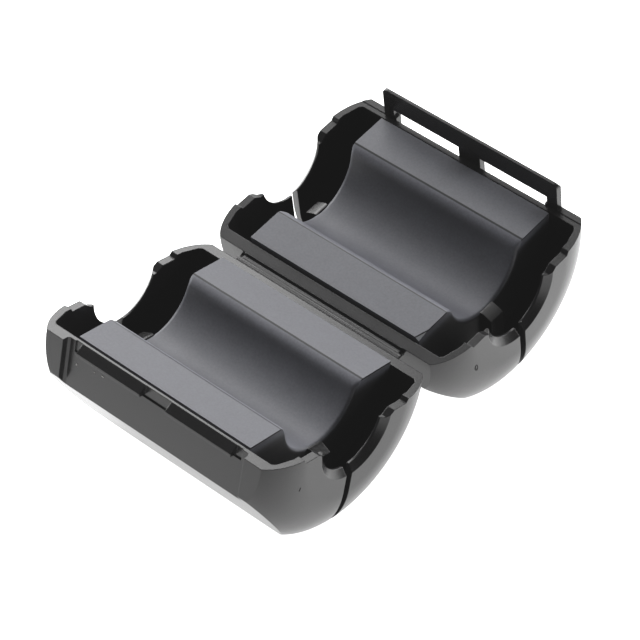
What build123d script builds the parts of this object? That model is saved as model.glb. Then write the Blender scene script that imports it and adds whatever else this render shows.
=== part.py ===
from build123d import *
import os
from math import cos, radians, sin, sqrt

os.makedirs("parts", exist_ok=True)

# An opened clip-on ferrite core for a round cable: one moulded case of two half shells
# joined by a living hinge, with a split ferrite ring held in it, one half in each shell.
#
# Each half is drawn lying flat in a frame of its own: the cable runs along X, the mating
# face of the ferrite is z = 0 and the shell hangs below it. The lower half has its latch
# at -Y and the hinge at +Y, the upper half the other way round. At the end both halves
# are set down opened, leaning against each other like a shallow V.

# Ferrite ring, split in two
bore_radius = 6.5
ferrite_radius = 13.2
ferrite_length = 28.5
mouth_fillet = 1.6
mouth_grind = 0.1
bore_end_chamfer = 0.5

# Outer form of a half shell: a barrel about a line along X, with a flat face at each end and
# an elliptical shoulder round it, then flat flanks and facets cut on it
barrel_radius = 16.3
barrel_z = -1.0
end_x = 20.1
end_face_radius = 9.0
shoulder_x = 15.6
flank_y = 15.3
flank_bottom_z = -6.3
facet_end_y = 7.0
rim_z = -0.42

# Inside of the shell: two bevels lead from the end wall to the barrel
wall = 1.3
inner_end_x = 19.0
inner_face_radius = 10.8
inner_bevel_x = 18.35
inner_bevel_radius = 13.2
inner_shoulder_x = 16.6
inner_flank_y = 13.6

# Cable opening in each end wall: a cone narrowing to a short round land, with a lowered
# seat beside it and a sloping lead-in
opening_radius = 5.6
opening_z = -0.9
opening_land_x = 19.3
cone_radius = 6.57
seat_drop = 0.53
seat_outer_y = 9.85
seat_inner_y = 7.2
seat_step = 0.35
lead_in_y = 6.1
lead_in_drop = 0.78
slit_width = 1.1
slit_start_x = 16.6

# Saddles that carry the ferrite, and the spring fingers that hold its ends
saddle_x = 8.0
saddle_thickness = 1.2
saddle_top_z = -3.0
finger_width = 2.4
finger_gap = 0.2
finger_thickness = 1.5
finger_nose = 0.3
finger_nose_flat = 0.2
finger_nose_drop = 0.1
finger_chin_drop = 0.6
finger_top_z = -6.45
finger_slope = 0.65

# Latch: hooks in a recess of the lower half, a strap with two windows on the upper half. The
# flank under each window is thinned by the strap's thickness, so that a plain mould can form it
strap_half_width = 14.7
strap_thickness = 0.95
strap_height = 4.5
strap_root = 1.2
strap_corner = 0.8
strap_bevel_width = 0.5
strap_bevel_height = 0.9
strap_gap = 0.17
ledge_rise = 0.1
window_inner_x = 1.8
window_outer_x = 13.0
window_high_z = 1.32
window_step_z = -0.05
window_step = 0.35
recess_half_width = 15.05
recess_fillet = 0.4
pocket_half_width = 13.9
pocket_drop = 1.6
pocket_depth = 0.2
hook_inner_x = 2.1
hook_outer_x = 12.9
hook_reach = 1.1
hook_ramp_drop = 0.9
hook_lip = 0.4
hook_root = 0.2

# Living hinge
hinge_y = 15.92
hinge_half_width = 13.8
hinge_thickness = 0.45
hinge_groove = 0.2
hinge_groove_width = 0.3
hinge_groove_place = 0.3

# Chip off one corner of the upper ferrite: its size and how it is turned
chip = (2.2, 1.0, 0.9)
chip_turn = (12, 35, 40)

# How far each half leans over when the clip is opened and set down, and how much further
# the lower case leans, which has rocked about its ferrite
lean = 9.18
case_rock = 1.77

flank_top = 6.0
reach = 60.0
facet_end_z = barrel_z - sqrt(barrel_radius**2 - facet_end_y**2)
strap_y = flank_y - strap_thickness
recess_y = strap_y - strap_gap
pocket_y = recess_y - pocket_depth
ferrite_end = ferrite_length / 2
floor_z = barrel_z - barrel_radius + wall


def flanked_section(inset, half_width):
    """Cross-section of a half shell: straight flanks, a facet below each, a round bottom."""
    with BuildSketch() as section:
        with BuildLine():
            Polyline(
                (-facet_end_y, facet_end_z),
                (-flank_y, flank_bottom_z),
                (-flank_y, flank_top),
                (flank_y, flank_top),
                (flank_y, flank_bottom_z),
                (facet_end_y, facet_end_z),
            )
            ThreePointArc(
                (facet_end_y, facet_end_z),
                (0, barrel_z - barrel_radius),
                (-facet_end_y, facet_end_z),
            )
        make_face()
        if inset > 0:
            offset(amount=-inset, kind=Kind.INTERSECTION, mode=Mode.REPLACE)
        Rectangle(2 * half_width, reach, mode=Mode.INTERSECT)
    return section.sketch


def barrel(profile, inset, half_width):
    """Revolve a closed half profile about the barrel's line and cut it to the flanked section."""
    with BuildPart() as form:
        with BuildSketch(Plane.XZ):
            add(profile)
            mirror(profile, about=Plane.YZ)
        revolve(axis=Axis((0, 0, barrel_z), (1, 0, 0)))
        with BuildSketch(Plane.YZ.offset(-reach / 2)):
            add(flanked_section(inset, half_width))
        extrude(amount=reach, mode=Mode.INTERSECT)
    return form.part


# Half profile of the outside: elliptical shoulder, flat end face
with BuildSketch() as outside:
    with BuildLine():
        shoulder = EllipticalCenterArc(
            (shoulder_x, barrel_z - end_face_radius),
            end_x - shoulder_x,
            barrel_radius - end_face_radius,
            270,
            arc_size=90,
        )
        Polyline(shoulder @ 1, (end_x, barrel_z), (0, barrel_z), (0, barrel_z - barrel_radius), shoulder @ 0)
    make_face()

# Half profile of the inside: flat end wall, two bevels
with BuildSketch() as inside:
    with BuildLine():
        Polyline(
            (0, barrel_z),
            (inner_end_x, barrel_z),
            (inner_end_x, barrel_z - inner_face_radius),
            (inner_bevel_x, barrel_z - inner_bevel_radius),
            (inner_shoulder_x, barrel_z - barrel_radius + wall),
            (0, barrel_z - barrel_radius + wall),
            close=True,
        )
    make_face()


def half_shell():
    """What both halves of the case have: walls, cable openings, slits, saddles and fingers."""
    with BuildPart() as shell:
        add(barrel(outside.sketch, 0, flank_y))
        add(barrel(inside.sketch, wall, inner_flank_y), mode=Mode.SUBTRACT)
        split(bisect_by=Plane.XY.offset(rim_z), keep=Keep.BOTTOM)

        # Saddles: cross walls hollowed to the ferrite's outside
        with BuildSketch(Plane.YZ.offset(-saddle_x), Plane.YZ.offset(saddle_x)):
            add(flanked_section(wall / 2, inner_flank_y + wall / 2))
            with Locations((0, saddle_top_z + reach / 2)):
                Rectangle(reach, reach, mode=Mode.SUBTRACT)
            Circle(ferrite_radius, mode=Mode.SUBTRACT)
        extrude(amount=saddle_thickness / 2, both=True)

        # Seat across both end walls, stepped down from the rim, with a lead-in to the opening
        seat_z = rim_z - seat_drop
        with BuildSketch(Plane.YZ):
            with BuildLine():
                Polyline(
                    (-seat_outer_y, rim_z + 1),
                    (-seat_outer_y, rim_z),
                    (-seat_outer_y + seat_step, seat_z),
                    (-seat_inner_y, seat_z),
                    (-lead_in_y, seat_z - lead_in_drop),
                    (lead_in_y, seat_z - lead_in_drop),
                    (seat_inner_y, seat_z),
                    (seat_outer_y - seat_step, seat_z),
                    (seat_outer_y, rim_z),
                    (seat_outer_y, rim_z + 1),
                    close=True,
                )
            make_face()
        extrude(amount=reach / 2, both=True, mode=Mode.SUBTRACT)

        # Cable opening: a round land inside, opening outwards as a cone
        outside_x = 2 * end_x - opening_land_x
        outside_radius = 2 * cone_radius - opening_radius
        with BuildSketch(Plane.XZ):
            with BuildLine():
                Polyline(
                    (-outside_x, opening_z),
                    (-outside_x, opening_z - outside_radius),
                    (-opening_land_x, opening_z - opening_radius),
                    (opening_land_x, opening_z - opening_radius),
                    (outside_x, opening_z - outside_radius),
                    (outside_x, opening_z),
                    close=True,
                )
            make_face()
        revolve(axis=Axis((0, 0, opening_z), (1, 0, 0)), mode=Mode.SUBTRACT)

        # Slit from the opening down each end, which lets the end wall spread round the cable
        slit_length = end_x - slit_start_x + 1
        with BuildSketch(Plane.XY.offset(opening_z)):
            with Locations((slit_start_x + slit_length / 2, 0), (-slit_start_x - slit_length / 2, 0)):
                Rectangle(slit_length, slit_width)
        extrude(amount=-reach / 2, mode=Mode.SUBTRACT)

        # Finger: rises behind the ferrite's end face, its nose over the chamfered bore edge
        near_x = ferrite_end + finger_gap
        far_x = near_x + finger_thickness
        nose_x = ferrite_end - finger_nose
        with BuildSketch(Plane.XZ):
            with BuildLine():
                Polyline(
                    (near_x, floor_z - wall / 2),
                    (near_x, finger_top_z - finger_chin_drop),
                    (nose_x, finger_top_z - finger_nose_drop),
                    (nose_x + finger_nose_flat, finger_top_z),
                    (near_x + finger_nose_drop, finger_top_z),
                    (far_x, finger_top_z - finger_slope),
                    (far_x, floor_z - wall / 2),
                    close=True,
                )
            make_face()
        finger = extrude(amount=finger_width / 2, both=True)
        mirror(finger, about=Plane.YZ)
    return shell.part


def half_ferrite():
    """Half of a split ring: ground mating faces, rounded mouth, chamfered bore ends."""
    with BuildPart() as ring:
        with BuildSketch(Plane.YZ) as ring_section:
            Circle(ferrite_radius)
            Circle(bore_radius, mode=Mode.SUBTRACT)
            with Locations((0, mouth_grind + reach / 2)):
                Rectangle(reach, reach, mode=Mode.SUBTRACT)
            mouth = [v for v in ring_section.vertices() if abs(abs(v.Y) - bore_radius) < 0.01]
            fillet(mouth, mouth_fillet)
            with Locations((0, reach / 2)):
                Rectangle(reach, reach, mode=Mode.SUBTRACT)
        extrude(amount=ferrite_end, both=True)
        bore_rims = ring.edges().filter_by(GeomType.CIRCLE).filter_by(
            lambda e: abs(e.radius - bore_radius) < 0.01
        )
        chamfer(bore_rims, bore_end_chamfer)
    return ring.part


plain_shell = half_shell()
plain_ferrite = half_ferrite()

with BuildPart() as lower_case:
    add(plain_shell)

    # Recess that the strap lies in when the clip is shut
    with BuildSketch(Plane.XY.offset(rim_z)):
        with Locations((0, -recess_y - 1)):
            recess = Rectangle(2 * recess_half_width, 2)
        fillet(recess.vertices().group_by(Axis.Y)[-1], recess_fillet)
    extrude(amount=-reach / 4, mode=Mode.SUBTRACT)

    # Shallow pocket behind the hooks
    with BuildSketch(Plane.XY.offset(rim_z)):
        with Locations((0, -pocket_y - 1)):
            Rectangle(2 * pocket_half_width, 2)
    extrude(amount=-pocket_drop, mode=Mode.SUBTRACT)

    # Two hooks: a ramp for the strap to ride over, a blunt lip, a flat underside
    hook_middle = (hook_inner_x + hook_outer_x) / 2
    hook_low_z = rim_z - hook_ramp_drop - hook_lip
    with BuildSketch(Plane.YZ.offset(hook_middle), Plane.YZ.offset(-hook_middle)):
        with BuildLine():
            Polyline(
                (hook_root - pocket_y, rim_z),
                (-pocket_y, rim_z),
                (-pocket_y - hook_reach, rim_z - hook_ramp_drop),
                (-pocket_y - hook_reach, hook_low_z),
                (hook_root - pocket_y, hook_low_z),
                close=True,
            )
        make_face()
    extrude(amount=(hook_outer_x - hook_inner_x) / 2, both=True)

# Ledge of the upper case: the rim is a hair higher at both ends of the strap
latch_rim = plain_shell.faces().filter_by(lambda f: abs(f.center().Z - rim_z) < 0.01).sort_by(Axis.Y)[-1]
with BuildPart() as ledge:
    extrude(to_extrude=latch_rim, amount=ledge_rise)
    Box(2 * strap_half_width, reach, reach, mode=Mode.SUBTRACT)
    with Locations((0, strap_y - reach / 2, 0)):
        Box(reach, reach, reach, mode=Mode.SUBTRACT)

with BuildPart() as upper_case:
    add(plain_shell)
    add(ledge.part)

    # Strap standing on the flank, its outer top edge bevelled
    with BuildSketch(Plane.XZ.offset(-strap_y)):
        with Locations((0, (strap_height - strap_root) / 2)):
            strap = Rectangle(2 * strap_half_width, strap_height + strap_root)
        fillet(strap.vertices().group_by(Axis.Z)[-1], strap_corner)
    extrude(amount=-strap_thickness)
    with BuildSketch(Plane.YZ):
        with BuildLine():
            Polyline(
                (flank_y, strap_height - strap_bevel_height),
                (flank_y, strap_height),
                (flank_y - strap_bevel_width, strap_height),
                close=True,
            )
        make_face()
    extrude(amount=reach / 2, both=True, mode=Mode.SUBTRACT)

    # A window for each hook, running on as a channel down the flank, narrower at its outer end
    with BuildSketch(Plane.XZ.offset(-strap_y)):
        for side in (-1, 1):
            with BuildLine():
                Polyline(
                    (side * window_inner_x, -reach / 2),
                    (side * window_inner_x, window_high_z),
                    (side * window_outer_x, window_high_z),
                    (side * window_outer_x, window_step_z),
                    (side * (window_outer_x - window_step), window_step_z),
                    (side * (window_outer_x - window_step), -reach / 2),
                    close=True,
                )
            make_face()
    extrude(amount=-reach / 2, mode=Mode.SUBTRACT)

with BuildPart() as lower_ferrite:
    add(plain_ferrite)

with BuildPart() as upper_ferrite:
    add(plain_ferrite)
    with Locations(Location((ferrite_end, -ferrite_radius, 0), chip_turn)):
        Box(*chip, mode=Mode.SUBTRACT)

# Both halves set down: each leans towards the hinge, on its round bottom
half_span = hinge_y * cos(radians(lean))
half_height = barrel_radius - barrel_z * cos(radians(lean))


def set_down(side, angle):
    """Frame of one half as it lies: side is -1 for the lower half and 1 for the upper one."""
    up = (0, -side * sin(radians(angle)), cos(radians(angle)))
    return Plane(origin=(0, side * half_span, half_height), x_dir=(1, 0, 0), z_dir=up)


lower_case_plane = set_down(-1, lean + case_rock)
lower_plane = set_down(-1, lean)
upper_plane = set_down(1, lean)

# Living hinge: a thin web between the two flanks, with a folding groove on top
lower_top = lower_case_plane.from_local_coords(Vector(0, flank_y, rim_z))
lower_low = lower_case_plane.from_local_coords(Vector(0, flank_y, rim_z - hinge_thickness))
upper_top = upper_plane.from_local_coords(Vector(0, -flank_y, rim_z))
upper_low = upper_plane.from_local_coords(Vector(0, -flank_y, rim_z - hinge_thickness))
web_run = upper_top - lower_top
groove_start, groove_middle, groove_end = (
    lower_top + web_run * ((place - lower_top.Y) / web_run.Y)
    for place in (
        hinge_groove_place - hinge_groove_width / 2,
        hinge_groove_place,
        hinge_groove_place + hinge_groove_width / 2,
    )
)
with BuildPart() as living_hinge:
    with BuildSketch(Plane.YZ):
        with BuildLine():
            Polyline(
                (lower_top.Y, lower_top.Z),
                (groove_start.Y, groove_start.Z),
                (groove_middle.Y, groove_middle.Z - hinge_groove),
                (groove_end.Y, groove_end.Z),
                (upper_top.Y, upper_top.Z),
                (upper_low.Y, upper_low.Z),
                (lower_low.Y, lower_low.Z),
                close=True,
            )
        make_face()
    extrude(amount=hinge_half_width, both=True)

pieces = {
    "lower_case": lower_case_plane.from_local_coords(lower_case.part),
    "lower_ferrite": lower_plane.from_local_coords(lower_ferrite.part),
    "upper_case": upper_plane.from_local_coords(upper_case.part),
    "upper_ferrite": upper_plane.from_local_coords(upper_ferrite.part),
    "living_hinge": living_hinge.part,
}
for name, piece in pieces.items():
    piece.label = name
    export_step(piece, f"parts/{name}.step")
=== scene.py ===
from math import pi, radians

import bmesh
import bpy
import numpy as np
from mathutils import Matrix, Vector


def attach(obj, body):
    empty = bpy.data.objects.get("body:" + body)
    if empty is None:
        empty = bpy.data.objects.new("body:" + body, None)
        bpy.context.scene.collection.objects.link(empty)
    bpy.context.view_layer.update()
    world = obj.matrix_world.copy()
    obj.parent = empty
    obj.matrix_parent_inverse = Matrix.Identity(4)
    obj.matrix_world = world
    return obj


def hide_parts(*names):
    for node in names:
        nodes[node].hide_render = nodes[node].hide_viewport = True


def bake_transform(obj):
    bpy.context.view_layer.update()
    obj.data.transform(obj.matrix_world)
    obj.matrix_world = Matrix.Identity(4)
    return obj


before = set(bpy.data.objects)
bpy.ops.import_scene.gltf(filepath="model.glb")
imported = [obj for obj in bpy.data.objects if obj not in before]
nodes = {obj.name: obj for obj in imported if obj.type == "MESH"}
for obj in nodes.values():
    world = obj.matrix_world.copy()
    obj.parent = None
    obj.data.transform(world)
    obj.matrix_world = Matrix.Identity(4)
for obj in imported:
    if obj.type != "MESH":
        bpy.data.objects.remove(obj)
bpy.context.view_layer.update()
scene = bpy.context.scene
mm = 0.001

print("frame loaded:", ", ".join(sorted(nodes)))

# Camera: the photo's long-lens view from the latch side and the near ends
cameraLook = {
    "place": (0.183086, -0.216344, 0.278245),
    "aim": (0.000441, -0.000155, 0.011572),
    "roll": 1.604,  # degrees, the picture's lean
    "sensor": 36,
    "lens": 170.66,
    "shift": (-0.0008, 0.0008),
    "clip": (0.01, 20),
}


def makeCamera(look):
    data = bpy.data.cameras.new("camera")
    data.sensor_width = look["sensor"]
    data.lens = look["lens"]
    data.shift_x, data.shift_y = look["shift"]
    data.clip_start, data.clip_end = look["clip"]
    camera = bpy.data.objects.new("camera", data)
    place = Vector(look["place"])
    turn = (Vector(look["aim"]) - place).to_track_quat("-Z", "Y").to_matrix()
    turn = turn @ Matrix.Rotation(radians(look["roll"]), 3, "Z")
    camera.matrix_world = Matrix.Translation(place) @ turn.to_4x4()
    scene.collection.objects.link(camera)
    scene.camera = camera


makeCamera(cameraLook)
print("camera placed")

# Studio: a light table that burns out to white, as in the photo, and soft light from behind and
# from the left
studio = {
    "floorSize": 6.0,
    "floorColour": (0.8, 0.8, 0.8, 1),
    "floorRoughness": 0.6,
    "floorGlow": (1.3, 0.1),  # under the object and far from it
    "veil": 0.009,  # the haze that a bright table puts over the darks
    "glowReach": (0.03, 0.13),  # where the glow starts to fall and where it is down
    "sky": 0.04,
    "lights": {
        # name: place, size, watts; every light looks at the object
        "backLeft": ((-1.0, 0.9, 0.9), 0.9, 18),
        "left": ((-1.4, 0.1, 0.6), 0.9, 30),
        "above": ((-0.1, 0.6, 1.35), 0.9, 5),
        "backdrop": ((0.2, 1.6, 0.3), 1.0, 40),
    },
}


def makeStudio(values):
    half = values["floorSize"] / 2
    mesh = bpy.data.meshes.new("floor")
    corners = [(-half, -half, 0), (half, -half, 0), (half, half, 0), (-half, half, 0)]
    mesh.from_pydata(corners, [], [(0, 1, 2, 3)])
    floor = bpy.data.objects.new("floor", mesh)
    scene.collection.objects.link(floor)
    material = bpy.data.materials.new("whiteSweep")
    material.use_nodes = True
    shader = material.node_tree.nodes["Principled BSDF"]
    shader.inputs["Base Color"].default_value = values["floorColour"]
    shader.inputs["Roughness"].default_value = values["floorRoughness"]
    shader.inputs["Emission Color"].default_value = (1, 1, 1, 1)
    put, tie = material.node_tree.nodes.new, material.node_tree.links.new
    place, reach = put("ShaderNodeTexCoord"), put("ShaderNodeVectorMath")
    fade = put("ShaderNodeMapRange")
    reach.operation = "LENGTH"
    fade.interpolation_type = "SMOOTHSTEP"
    fade.inputs["From Min"].default_value, fade.inputs["From Max"].default_value = values["glowReach"]
    fade.inputs["To Min"].default_value, fade.inputs["To Max"].default_value = values["floorGlow"]
    tie(place.outputs["Object"], reach.inputs[0])
    tie(reach.outputs["Value"], fade.inputs["Value"])
    tie(fade.outputs["Result"], shader.inputs["Emission Strength"])
    mesh.materials.append(material)
    world = bpy.data.worlds.new("studioAir")
    world.use_nodes = True
    background = world.node_tree.nodes["Background"]
    background.inputs["Color"].default_value = (1, 1, 1, 1)
    background.inputs["Strength"].default_value = values["sky"]
    scene.world = world
    for name, (place, size, watts) in values["lights"].items():
        data = bpy.data.lights.new(name, "AREA")
        data.shape = "SQUARE"
        data.size = size
        data.energy = watts
        light = bpy.data.objects.new(name, data)
        turn = (-Vector(place)).to_track_quat("-Z", "Y").to_matrix().to_4x4()
        light.matrix_world = Matrix.Translation(place) @ turn
        scene.collection.objects.link(light)
    scene.view_settings.view_transform = "Standard"
    scene.view_settings.use_curve_mapping = True
    curve = scene.view_settings.curve_mapping
    curve.black_level = (-values["veil"],) * 3
    curve.update()


makeStudio(studio)
print("studio lit")


# Shader groups
def addSocket(tree, name, direction, kind, value=None):
    socket = tree.interface.new_socket(name=name, in_out=direction, socket_type=kind)
    if value is not None:
        socket.default_value = value


grainDetail = {"fine": 3, "broad": 4}  # octaves of the two noises


def makeGrainGroup():
    # grain: two noises on object coordinates, one fine and one broad; fine gives the height of
    # the surface, both together give a value round zero that shades colour and roughness
    tree = bpy.data.node_groups.new("surfaceGrain", "ShaderNodeTree")
    addSocket(tree, "fineScale", "INPUT", "NodeSocketFloat", 4000)
    addSocket(tree, "broadScale", "INPUT", "NodeSocketFloat", 250)
    addSocket(tree, "fineShare", "INPUT", "NodeSocketFloat", 0.5)
    addSocket(tree, "shade", "OUTPUT", "NodeSocketFloat")
    addSocket(tree, "height", "OUTPUT", "NodeSocketFloat")
    put, tie = tree.nodes.new, tree.links.new
    given, result = put("NodeGroupInput"), put("NodeGroupOutput")
    place = put("ShaderNodeTexCoord")
    noises = {}
    for part, detail in grainDetail.items():
        noise = put("ShaderNodeTexNoise")
        noise.inputs["Detail"].default_value = detail
        tie(place.outputs["Object"], noise.inputs["Vector"])
        tie(given.outputs[part + "Scale"], noise.inputs["Scale"])
        noises[part] = noise
    mix = put("ShaderNodeMix")
    tie(given.outputs["fineShare"], mix.inputs["Factor"])
    tie(noises["broad"].outputs["Fac"], mix.inputs["A"])
    tie(noises["fine"].outputs["Fac"], mix.inputs["B"])
    centred = put("ShaderNodeMath")
    centred.operation = "SUBTRACT"
    centred.inputs[1].default_value = 0.5  # the middle of a noise
    tie(mix.outputs["Result"], centred.inputs[0])
    tie(centred.outputs["Value"], result.inputs["shade"])
    tie(noises["fine"].outputs["Fac"], result.inputs["height"])
    return tree


def makeSpeckGroup():
    # specks: cells of a Voronoi pattern; only cells whose random value passes the rarity hold a
    # speck, a small round spot at the cell's point
    tree = bpy.data.node_groups.new("dustSpecks", "ShaderNodeTree")
    addSocket(tree, "scale", "INPUT", "NodeSocketFloat", 900)
    addSocket(tree, "radius", "INPUT", "NodeSocketFloat", 0.12)
    addSocket(tree, "rarity", "INPUT", "NodeSocketFloat", 0.985)
    addSocket(tree, "mask", "OUTPUT", "NodeSocketFloat")
    put, tie = tree.nodes.new, tree.links.new
    given, result = put("NodeGroupInput"), put("NodeGroupOutput")
    place = put("ShaderNodeTexCoord")
    cells = put("ShaderNodeTexVoronoi")
    tie(place.outputs["Object"], cells.inputs["Vector"])
    tie(given.outputs["scale"], cells.inputs["Scale"])
    split = put("ShaderNodeSeparateColor")
    tie(cells.outputs["Color"], split.inputs["Color"])
    chosen = put("ShaderNodeMath")
    chosen.operation = "GREATER_THAN"
    tie(split.outputs["Red"], chosen.inputs[0])
    tie(given.outputs["rarity"], chosen.inputs[1])
    near = put("ShaderNodeMath")
    near.operation = "LESS_THAN"
    tie(cells.outputs["Distance"], near.inputs[0])
    tie(given.outputs["radius"], near.inputs[1])
    both = put("ShaderNodeMath")
    both.operation = "MULTIPLY"
    tie(chosen.outputs["Value"], both.inputs[0])
    tie(near.outputs["Value"], both.inputs[1])
    tie(both.outputs["Value"], result.inputs["mask"])
    return tree


# Painted light and shade on the ground ferrite edges: in each pair of the two curves, the first value
# is the depth below the mating face in mm, and the second one multiplies the colour, painting shade
# below 1 and a highlight above 1
paintedEdgeLight = {
    "reach": 4.0,  # depth at which the curves end
    "gain": 2.0,  # the curves are kept as shares of this value
    "endFaceFrom": (0.75, 0.9),  # how far a normal points along X on an end face
    # mouth: a painted shade line just under the mating face, then a painted highlight band on the
    # rounded mouth
    "mouth": (
        (0, 1), (0.004, 0.1), (0.085, 0.1), (0.12, 1.4),
        (0.55, 1.35), (1.1, 0.88), (2.2, 0.85), (3.9, 1),
    ),
    # end: a painted shade line at the top edge of each end face, a painted highlight band under it,
    # then painted shade that darkens the end face deeper in the pocket
    "end": (
        (0, 1), (0.008, 0.1), (0.2, 0.1), (0.28, 1.5),
        (0.9, 1.25), (1.6, 0.35), (2.4, 0.08),
    ),
}


def makePaintedEdgeLightGroup(values):
    # painted light and shade: the attribute depthBelowFace read through two curves, one for the
    # bore's mouth and one for the end faces, mixed by how far the true normal points along X
    tree = bpy.data.node_groups.new("paintedEdgeLightAndShade", "ShaderNodeTree")
    addSocket(tree, "paintedLight", "OUTPUT", "NodeSocketFloat")
    put, tie = tree.nodes.new, tree.links.new
    result = put("NodeGroupOutput")
    depth = put("ShaderNodeAttribute")
    depth.attribute_name = "depthBelowFace"
    scaled = put("ShaderNodeMath")
    scaled.operation = "DIVIDE"
    scaled.inputs[1].default_value = values["reach"]
    tie(depth.outputs["Fac"], scaled.inputs[0])
    mix = put("ShaderNodeMix")
    for curveName, socket in (("mouth", "A"), ("end", "B")):
        ramp = put("ShaderNodeValToRGB")
        stops = ramp.color_ramp.elements
        while len(stops) > 1:
            stops.remove(stops[-1])
        for index, (place, paintedLight) in enumerate(values[curveName]):
            stop = stops[0] if index == 0 else stops.new(place / values["reach"])
            stop.position = place / values["reach"]
            stop.color = (paintedLight / values["gain"],) * 3 + (1,)
        tie(scaled.outputs["Value"], ramp.inputs["Fac"])
        tie(ramp.outputs["Color"], mix.inputs[socket])
    facing = put("ShaderNodeNewGeometry")
    parts = put("ShaderNodeSeparateXYZ")
    tie(facing.outputs["True Normal"], parts.inputs["Vector"])
    size = put("ShaderNodeMath")
    size.operation = "ABSOLUTE"
    tie(parts.outputs["X"], size.inputs[0])
    share = put("ShaderNodeMapRange")
    low, high = values["endFaceFrom"]
    share.inputs["From Min"].default_value = low
    share.inputs["From Max"].default_value = high
    tie(size.outputs["Value"], share.inputs["Value"])
    tie(share.outputs["Result"], mix.inputs["Factor"])
    back = put("ShaderNodeMath")
    back.operation = "MULTIPLY"
    back.inputs[1].default_value = values["gain"]
    tie(mix.outputs["Result"], back.inputs[0])
    tie(back.outputs["Value"], result.inputs["paintedLight"])
    return tree


grainGroup = makeGrainGroup()
speckGroup = makeSpeckGroup()
paintedEdgeLightGroup = makePaintedEdgeLightGroup(paintedEdgeLight)

# Finishes
casePlastic = {
    "name": "blackCasePlastic",
    "colour": (0.0085, 0.0082, 0.0086, 1),
    "speckColour": (0.22, 0.22, 0.22, 1),
    "roughness": 0.26,
    "roughnessSwing": 0.22,
    "shadeSwing": 0.35,
    "grain": {"fineScale": 6500, "broadScale": 330, "fineShare": 0.3},
    "specks": {"scale": 1300, "radius": 0.1, "rarity": 0.992},
    "bumpDepth": 0.0000035,
    "bumpStrength": 0.35,
    "edgeRadius": 0.00012,
    "edgeSamples": 6,
    "ior": 1.43,
}
ferriteBody = {
    "name": "sinteredFerrite",
    "colour": (0.0865, 0.0885, 0.103, 1),
    "speckColour": (0.2, 0.205, 0.215, 1),
    "roughness": 0.52,
    "roughnessSwing": 0.3,
    "shadeSwing": 0.8,
    "grain": {"fineScale": 3300, "broadScale": 420, "fineShare": 0.7},
    "specks": {"scale": 2100, "radius": 0.1, "rarity": 0.996},
    "bumpDepth": 0.00001,
    "bumpStrength": 0.5,
    "edgeRadius": 0.00004,
    "edgeSamples": 6,
    "ior": 1.5,
    "freshColour": (0.36, 0.37, 0.39, 1),  # a newly broken place
}


def makeFinish(look):
    material = bpy.data.materials.new(look["name"])
    material.use_nodes = True
    tree = material.node_tree
    put, tie = tree.nodes.new, tree.links.new
    shader = tree.nodes["Principled BSDF"]
    grain = put("ShaderNodeGroup")
    grain.node_tree = grainGroup
    for name, value in look["grain"].items():
        grain.inputs[name].default_value = value
    specks = put("ShaderNodeGroup")
    specks.node_tree = speckGroup
    for name, value in look["specks"].items():
        specks.inputs[name].default_value = value

    def around(start, swing):
        # start times (1 + swing times shade)
        node = put("ShaderNodeMath")
        node.operation = "MULTIPLY_ADD"
        node.inputs[1].default_value = start * swing
        node.inputs[2].default_value = start
        tie(grain.outputs["shade"], node.inputs[0])
        return node.outputs["Value"]

    scaled = put("ShaderNodeVectorMath")
    scaled.operation = "SCALE"
    scaled.inputs[0].default_value = look["colour"][:3]
    shade = around(1, look["shadeSwing"])
    if "freshColour" in look:
        # the ferrite: painted shade and painted highlights along the ground edges and down the end
        # faces, and a lighter colour where a piece broke off
        grainAndPaintedLight = put("ShaderNodeMath")
        grainAndPaintedLight.operation = "MULTIPLY"
        edges = put("ShaderNodeGroup")
        edges.node_tree = paintedEdgeLightGroup
        tie(edges.outputs["paintedLight"], grainAndPaintedLight.inputs[0])
        tie(shade, grainAndPaintedLight.inputs[1])
        fresh = put("ShaderNodeAttribute")
        fresh.attribute_name = "freshBreak"
        base = put("ShaderNodeMix")
        base.data_type = "RGBA"
        base.inputs["A"].default_value = look["colour"]
        base.inputs["B"].default_value = look["freshColour"]
        tie(fresh.outputs["Fac"], base.inputs["Factor"])
        tie(base.outputs["Result"], scaled.inputs[0])
        shade = grainAndPaintedLight.outputs["Value"]
    tie(shade, scaled.inputs["Scale"])
    colour = put("ShaderNodeMix")
    colour.data_type = "RGBA"
    tie(specks.outputs["mask"], colour.inputs["Factor"])
    tie(scaled.outputs["Vector"], colour.inputs["A"])
    colour.inputs["B"].default_value = look["speckColour"]
    tie(colour.outputs["Result"], shader.inputs["Base Color"])
    tie(around(look["roughness"], look["roughnessSwing"]), shader.inputs["Roughness"])
    edge = put("ShaderNodeBevel")
    edge.samples = look["edgeSamples"]
    edge.inputs["Radius"].default_value = look["edgeRadius"]
    bump = put("ShaderNodeBump")
    bump.inputs["Strength"].default_value = look["bumpStrength"]
    bump.inputs["Distance"].default_value = look["bumpDepth"]
    tie(grain.outputs["height"], bump.inputs["Height"])
    tie(edge.outputs["Normal"], bump.inputs["Normal"])
    tie(bump.outputs["Normal"], shader.inputs["Normal"])
    shader.inputs["IOR"].default_value = look["ior"]
    return material


plasticFinish = makeFinish(casePlastic)
ferriteFinish = makeFinish(ferriteBody)
print("finishes made")


# Helpers for the shapes
def smoothStep(value, low, high):
    t = np.clip((value - low) / (high - low), 0, 1)
    return t * t * (3 - 2 * t)


def gridQuads(rows, count, closedRows=False):
    # quads between neighbouring rows of a grid whose rows are loops of count points
    i, j = np.meshgrid(np.arange(rows if closedRows else rows - 1), np.arange(count), indexing="ij")
    nextRow = (i + 1) % rows
    here, beside = i * count + j, i * count + (j + 1) % count
    after, afterBeside = nextRow * count + j, nextRow * count + (j + 1) % count
    return np.stack([here, beside, afterBeside, after], axis=2).reshape(-1, 4).tolist()


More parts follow.
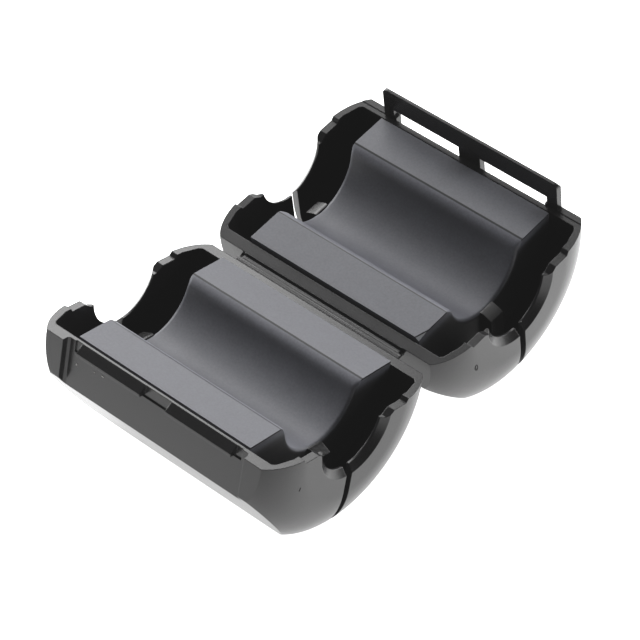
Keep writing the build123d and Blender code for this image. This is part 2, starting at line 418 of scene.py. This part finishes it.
def endCaps(rows, count):
    last = rows * count
    return [list(range(count)), list(range(last - 1, last - 1 - count, -1))]


def makeMesh(name, points, faces):
    # points come in mm, as an array of any shape that ends in 3
    mesh = bpy.data.meshes.new(name)
    mesh.from_pydata((points.reshape(-1, 3) * mm).tolist(), [], faces)
    return mesh


def closeMesh(mesh, mergeDistance):
    joined = bmesh.new()
    joined.from_mesh(mesh)
    bmesh.ops.remove_doubles(joined, verts=joined.verts, dist=mergeDistance)
    bmesh.ops.recalc_face_normals(joined, faces=joined.faces)
    joined.to_mesh(mesh)
    joined.free()
    mesh.shade_smooth()


def creaseEdges(joined, angle):
    # smooth faces, and sharp edges where two faces meet at more than the angle, in degrees
    for face in joined.faces:
        face.smooth = True
    for edge in joined.edges:
        edge.smooth = edge.calc_face_angle(pi) < radians(angle)


def makePiece(name, mesh, material):
    mesh.materials.clear()
    mesh.materials.append(material)
    piece = bpy.data.objects.new(name, mesh)
    scene.collection.objects.link(piece)
    return piece


pointMerge = 0.000001  # metres, for the poles of small pieces

# Shells: smooth copies of the CAD nodes
shellCopy = {"mergeDistance": 0.000002, "creaseAngle": 26}


def makeShell(nodeName, pieceName, body, values):
    # the node's loose triangles joined at their corners, shaded smooth up to the crease angle
    joined = bmesh.new()
    joined.from_mesh(nodes[nodeName].data)
    bmesh.ops.remove_doubles(joined, verts=joined.verts, dist=values["mergeDistance"])
    bmesh.ops.dissolve_degenerate(joined, dist=values["mergeDistance"], edges=joined.edges)
    creaseEdges(joined, values["creaseAngle"])
    mesh = bpy.data.meshes.new(pieceName)
    joined.to_mesh(mesh)
    joined.free()
    piece = makePiece(pieceName, mesh, plasticFinish)
    weighted = piece.modifiers.new("weighted", "WEIGHTED_NORMAL")
    weighted.keep_sharp = True
    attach(piece, body)
    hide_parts(nodeName)


makeShell("lower_case", "lowerShell", "lower", shellCopy)
makeShell("upper_case", "upperShell", "upper", shellCopy)
print("shells dressed")

# Cores: half rings with ground mating faces, a rounded mouth and rounded bore ends
coreRing = {
    "outerRadius": 13.2,  # all in mm, in the core's own frame
    "boreRadius": 6.5,
    "halfLength": 14.25,
    "mouthRadius": 2.2,
    "mouthGrind": 0.1,  # taken off the rounded mouth by the grinding of the mating face
    "boreEndRadius": 0.6,
    "endFadeDepth": 1.2,  # the bore end's rounding grows to full size over this depth
    "outerSteps": 90,
    "boreSteps": 76,
    "mouthSteps": 18,
    "groundSteps": 8,
    "endSteps": 10,
    "lengthSteps": 30,
    "creaseAngle": 12,  # degrees
}
# Mating planes of the two cores, and the corner that is broken off one of them
coreMarks = {
    "planePoint": {"lower": (0, -15.716, 17.287), "upper": (0, 15.716, 17.287)},  # mm
    "planeLean": {"lower": 9.18, "upper": -9.18},  # degrees about X
    "brokenCore": "upper",
    "breakPoint": (14.1, 3.05, 14.96),  # plane that takes the corner off
    "breakNormal": (0.57, -0.3, 0.76),
    "breakBox": ((10, -100, 0), (15, 6, 100)),  # where the broken faces lie, mm
    "breakFacing": (0.15, 0.97),  # their normals along X
}


def markCore(mesh, body, values):
    # depthBelowFace: how far each vertex lies under the mating plane, in mm, which places the painted
    # light and shade of the edges;
    # freshBreak: 1 on the faces of the broken corner, which face partly along X
    points = np.empty(len(mesh.vertices) * 3, dtype=np.float32)
    mesh.vertices.foreach_get("co", points)
    points = points.reshape(-1, 3) / mm
    lean = radians(values["planeLean"][body])
    normal = np.array((0, np.sin(lean), np.cos(lean)))
    depth = (np.array(values["planePoint"][body]) - points) @ normal
    attribute = mesh.attributes.new("depthBelowFace", "FLOAT", "POINT")
    attribute.data.foreach_set("value", depth.astype(np.float32))
    centres = np.empty(len(mesh.polygons) * 3, dtype=np.float32)
    facing = np.empty(len(mesh.polygons) * 3, dtype=np.float32)
    mesh.polygons.foreach_get("center", centres)
    mesh.polygons.foreach_get("normal", facing)
    centres, facing = centres.reshape(-1, 3) / mm, facing.reshape(-1, 3)
    inside = np.full(len(centres), body == values["brokenCore"])
    lowest, highest = np.array(values["breakBox"])
    inside &= np.all(centres > lowest, axis=1) & np.all(centres < highest, axis=1)
    low, high = values["breakFacing"]
    inside &= (facing[:, 0] > low) & (facing[:, 0] < high)
    attribute = mesh.attributes.new("freshBreak", "FLOAT", "FACE")
    attribute.data.foreach_set("value", inside.astype(np.float32))


def makeCore(nodeName, pieceName, body, values, marks):
    # section: outer arc, ground face, mouth arc tangent to the bore and to a line a little above
    # the ground face, bore arc, and the same back again; it is carried along X; towards both ends
    # the bore side moves into the material along its normal by a quarter circle, which fades out
    # at the ground face
    outer, bore, mouth = values["outerRadius"], values["boreRadius"], values["mouthRadius"]
    centreZ = values["mouthGrind"] - mouth
    centreY = np.sqrt((bore + mouth) ** 2 - centreZ**2)
    tangent = np.arctan2(centreZ, centreY)
    groundTurn = pi - np.arcsin(-centreZ / mouth)
    groundY = centreY + mouth * np.cos(groundTurn)
    turn = np.linspace(0, -pi, values["outerSteps"] + 1)
    outside = np.stack([outer * np.cos(turn), outer * np.sin(turn)], axis=1)
    flat = np.linspace(-outer, -groundY, values["groundSteps"] + 1)[1:]
    ground = np.stack([flat, 0 * flat], axis=1)
    turn = np.linspace(groundTurn, pi + tangent, values["mouthSteps"] + 1)[1:]
    lipNormal = np.stack([np.cos(turn), np.sin(turn)], axis=1)
    lip = np.array((centreY, centreZ)) + mouth * lipNormal
    mirror = np.array((-1, 1))
    turn = np.linspace(-pi - tangent, tangent, values["boreSteps"] + 1)[1:-1]
    hollowNormal = -np.stack([np.cos(turn), np.sin(turn)], axis=1)
    hollow = -bore * hollowNormal
    section = np.concatenate(
        [outside, ground, lip * mirror, hollow, lip[::-1], ground[::-1] * mirror]
    )
    still = np.zeros((len(outside) + len(ground), 2))
    normals = np.concatenate([still, lipNormal * mirror, hollowNormal, lipNormal[::-1], 0 * ground])
    fade = smoothStep(-section[:, 1], 0, values["endFadeDepth"])
    quarter = np.linspace(0, pi / 2, values["endSteps"] + 1)
    size = values["boreEndRadius"]
    endX = values["halfLength"] - size + size * np.sin(quarter)
    endShift = size * (1 - np.cos(quarter))
    middleX = np.linspace(-endX[0], endX[0], values["lengthSteps"] + 1)[1:-1]
    x = np.concatenate([-endX[::-1], middleX, endX])
    shift = np.concatenate([endShift[::-1], 0 * middleX, endShift])
    ring = section[None] - normals[None] * (fade[None, :, None] * shift[:, None, None])
    lean = radians(marks["planeLean"][body])
    place = np.array(marks["planePoint"][body])
    points = np.empty(ring.shape[:2] + (3,))
    points[..., 0] = x[:, None] + place[0]
    points[..., 1] = place[1] + ring[..., 0] * np.cos(lean) + ring[..., 1] * np.sin(lean)
    points[..., 2] = place[2] - ring[..., 0] * np.sin(lean) + ring[..., 1] * np.cos(lean)
    rows, count = ring.shape[:2]
    mesh = makeMesh(pieceName, points, gridQuads(rows, count) + endCaps(rows, count))
    joined = bmesh.new()
    joined.from_mesh(mesh)
    if body == marks["brokenCore"]:
        cut = bmesh.ops.bisect_plane(
            joined,
            geom=joined.verts[:] + joined.edges[:] + joined.faces[:],
            plane_co=Vector(marks["breakPoint"]) * mm,
            plane_no=Vector(marks["breakNormal"]),
            clear_outer=True,
        )
        rim = [part for part in cut["geom_cut"] if isinstance(part, bmesh.types.BMEdge)]
        bmesh.ops.contextual_create(joined, geom=rim)
    bmesh.ops.recalc_face_normals(joined, faces=joined.faces)
    creaseEdges(joined, values["creaseAngle"])
    joined.to_mesh(mesh)
    joined.free()
    markCore(mesh, body, marks)
    piece = makePiece(pieceName, mesh, ferriteFinish)
    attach(piece, body)
    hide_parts(nodeName)


makeCore("lower_ferrite", "lowerCore", "lower", coreRing, coreMarks)
makeCore("upper_ferrite", "upperCore", "upper", coreRing, coreMarks)
print("cores made")

# Living hinge: one bent web that carries the lower rim on, with streaks along it, and a folding
# groove under the upper rim
hingeWeb = {
    "halfWidth": 13.8,
    "lowerTop": (-0.79, 13.975),  # y, z of the web's top edge at each flank
    "upperTop": (0.695, 14.435),
    "lowerBottom": (-0.875, 13.54),
    "upperBottom": (0.765, 13.99),
    "columns": 280,
    "rows": 64,
    "rise": 0.11,  # how far the flat part climbs for each mm
    "stepFrom": 0.86,  # share of the way across where the step to the upper rim starts
    "stepTo": 0.95,
    "grooveAt": 0.855,
    "grooveWidth": 0.035,
    "grooveDepth": 0.1,
    "streaks": (
        # middle, width, height
        (0.16, 0.03, 0.012),
        (0.3, 0.022, 0.018),
        (0.42, 0.02, -0.01),
        (0.55, 0.026, 0.014),
        (0.68, 0.02, 0.01),
    ),
    "streakWander": 0.02,
    "wanderWave": (0.21, 0.07, 2.1),  # waves per mm, more for each streak, and their offset
    "fadeWave": (0.33, 0.05, 1.0),
    "fadeLevel": (0.6, 0.4),  # a streak's middle height and swing
    "notch": (13.25, 13.45, 0.3),  # where the ends drop, and by how much
    "notchFrom": (0.45, 0.6),  # shares of the way across where the notch sets in and ends
    "notchTo": (0.97, 1.0),
    "creaseAngle": 40,  # degrees
}


def makeHingeWeb(values):
    # top: a flat part that climbs slowly from the lower flank, then a smooth step up to the upper
    # flank, lowered by a narrow bell at the groove, raised or lowered by a weak bell at each
    # streak, whose middle wanders along the web, and dropped by a smooth step near both ends;
    # bottom: the straight line between the lower corners; the loop is closed and carried along X
    acrossShare = np.linspace(0, 1, values["rows"])
    along = np.linspace(-values["halfWidth"], values["halfWidth"], values["columns"])
    share, x = np.meshgrid(acrossShare, along)
    start, end = np.array(values["lowerTop"]), np.array(values["upperTop"])
    topY = start[0] + (end[0] - start[0]) * share
    flat = start[1] + values["rise"] * (topY - start[0])
    step = smoothStep(share, values["stepFrom"], values["stepTo"])
    topZ = flat + (end[1] - flat) * step
    groove = np.exp(-(((share - values["grooveAt"]) / values["grooveWidth"]) ** 2))
    topZ = topZ - values["grooveDepth"] * groove
    wanderRate, wanderMore, wanderOffset = values["wanderWave"]
    fadeRate, fadeMore, fadeOffset = values["fadeWave"]
    fadeMiddle, fadeSwing = values["fadeLevel"]
    for index, (middle, width, height) in enumerate(values["streaks"]):
        wander = np.sin(x * (wanderRate + wanderMore * index) + wanderOffset * index)
        wander = values["streakWander"] * wander
        fade = fadeMiddle + fadeSwing * np.sin(x * (fadeRate + fadeMore * index) + fadeOffset * index)
        topZ = topZ + height * fade * np.exp(-(((share - middle - wander) / width) ** 2))
    notchStart, notchEnd, notchDepth = values["notch"]
    atUpper = smoothStep(share, *values["notchFrom"]) * (1 - smoothStep(share, *values["notchTo"]))
    topZ = topZ - notchDepth * smoothStep(np.abs(x), notchStart, notchEnd) * atUpper
    start, end = np.array(values["lowerBottom"]), np.array(values["upperBottom"])
    back = share[:, ::-1]
    lowY = start[0] + (end[0] - start[0]) * back
    lowZ = start[1] + (end[1] - start[1]) * back
    ringY = np.concatenate([topY, lowY], axis=1)
    ringZ = np.concatenate([topZ, lowZ], axis=1)
    ringX = np.repeat(along[:, None], ringY.shape[1], axis=1)
    points = np.stack([ringX, ringY, ringZ], axis=2)
    rows, count = ringY.shape
    mesh = makeMesh("hingeWeb", points, gridQuads(rows, count) + endCaps(rows, count))
    closeMesh(mesh, pointMerge)
    mesh.set_sharp_from_angle(angle=radians(values["creaseAngle"]))
    web = makePiece("hingeWeb", mesh, plasticFinish)
    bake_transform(web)
    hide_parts("living_hinge")


makeHingeWeb(hingeWeb)
print("hinge web made")

# Marks of the mould's gates on the near ends, and dust on the lower side wall
gateScar = {
    "name": "gateScar",
    "colour": (0.006, 0.006, 0.006, 1),
    "roughness": 0.85,
    "steps": (40, 12),
    "marks": (
        # piece, body, centre, half height, half width, lean (Y for each mm of Z), band, depth
        ("upperGateRing", "upper", (20.035, 7.54, 10.52), 0.5, 0.2, -0.18, 0.12, 0.05),
        ("lowerGateTear", "lower", (19.99, -26.17, 14.45), 0.34, 0.07, 0.34, 0.09, 0.035),
    ),
}
dustFlakes = {
    "name": "dust",
    "colour": (0.5, 0.49, 0.47, 1),
    "roughness": 0.9,
    "steps": (16, 9),
    "flakes": (
        # centre, half size along X, across X, out of the surface
        ((-13.35, -30.36, 16.29), 0.09, 0.2, 0.03),
        ((-10.32, -30.26, 16.83), 0.13, 0.08, 0.03),
        ((-8.97, -30.23, 17.0), 0.25, 0.08, 0.03),
    ),
}


def makePlainMaterial(look):
    material = bpy.data.materials.new(look["name"])
    material.use_nodes = True
    shader = material.node_tree.nodes["Principled BSDF"]
    shader.inputs["Base Color"].default_value = look["colour"]
    shader.inputs["Roughness"].default_value = look["roughness"]
    return material


def placeGrid(name, points, body, material, closedRows):
    mesh = makeMesh(name, points, gridQuads(*points.shape[:2], closedRows))
    closeMesh(mesh, pointMerge)
    piece = makePiece(name, mesh, material)
    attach(piece, body)


def makeGateScars(values):
    # a flattened ring round X: an oval path whose Y leans with its Z, and an oval band about it
    material = makePlainMaterial(values)
    around, across = np.meshgrid(
        np.linspace(0, 2 * pi, values["steps"][0], endpoint=False),
        np.linspace(0, 2 * pi, values["steps"][1], endpoint=False),
        indexing="ij",
    )
    for name, body, centre, halfHeight, halfWidth, lean, band, depth in values["marks"]:
        z = (halfHeight + band * np.cos(across)) * np.sin(around)
        y = (halfWidth + band * np.cos(across)) * np.cos(around) + lean * z
        x = depth * np.sin(across)
        points = np.stack([x, y, z], axis=2) + np.array(centre)
        placeGrid(name, points, body, material, closedRows=True)


def makeDust(values):
    # each flake: a small ellipsoid, half sunk in the surface
    material = makePlainMaterial(values)
    polar, around = np.meshgrid(
        np.linspace(0, pi, values["steps"][1]),
        np.linspace(0, 2 * pi, values["steps"][0], endpoint=False),
        indexing="ij",
    )
    for index, (centre, along, across, out) in enumerate(values["flakes"]):
        x = along * np.sin(polar) * np.cos(around)
        y = out * np.sin(polar) * np.sin(around)
        z = across * np.cos(polar)
        points = np.stack([x, y, z], axis=2) + np.array(centre)
        placeGrid("dustFlake" + str(index), points, "lower", material, closedRows=False)


makeGateScars(gateScar)
makeDust(dustFlakes)
print("small marks made")
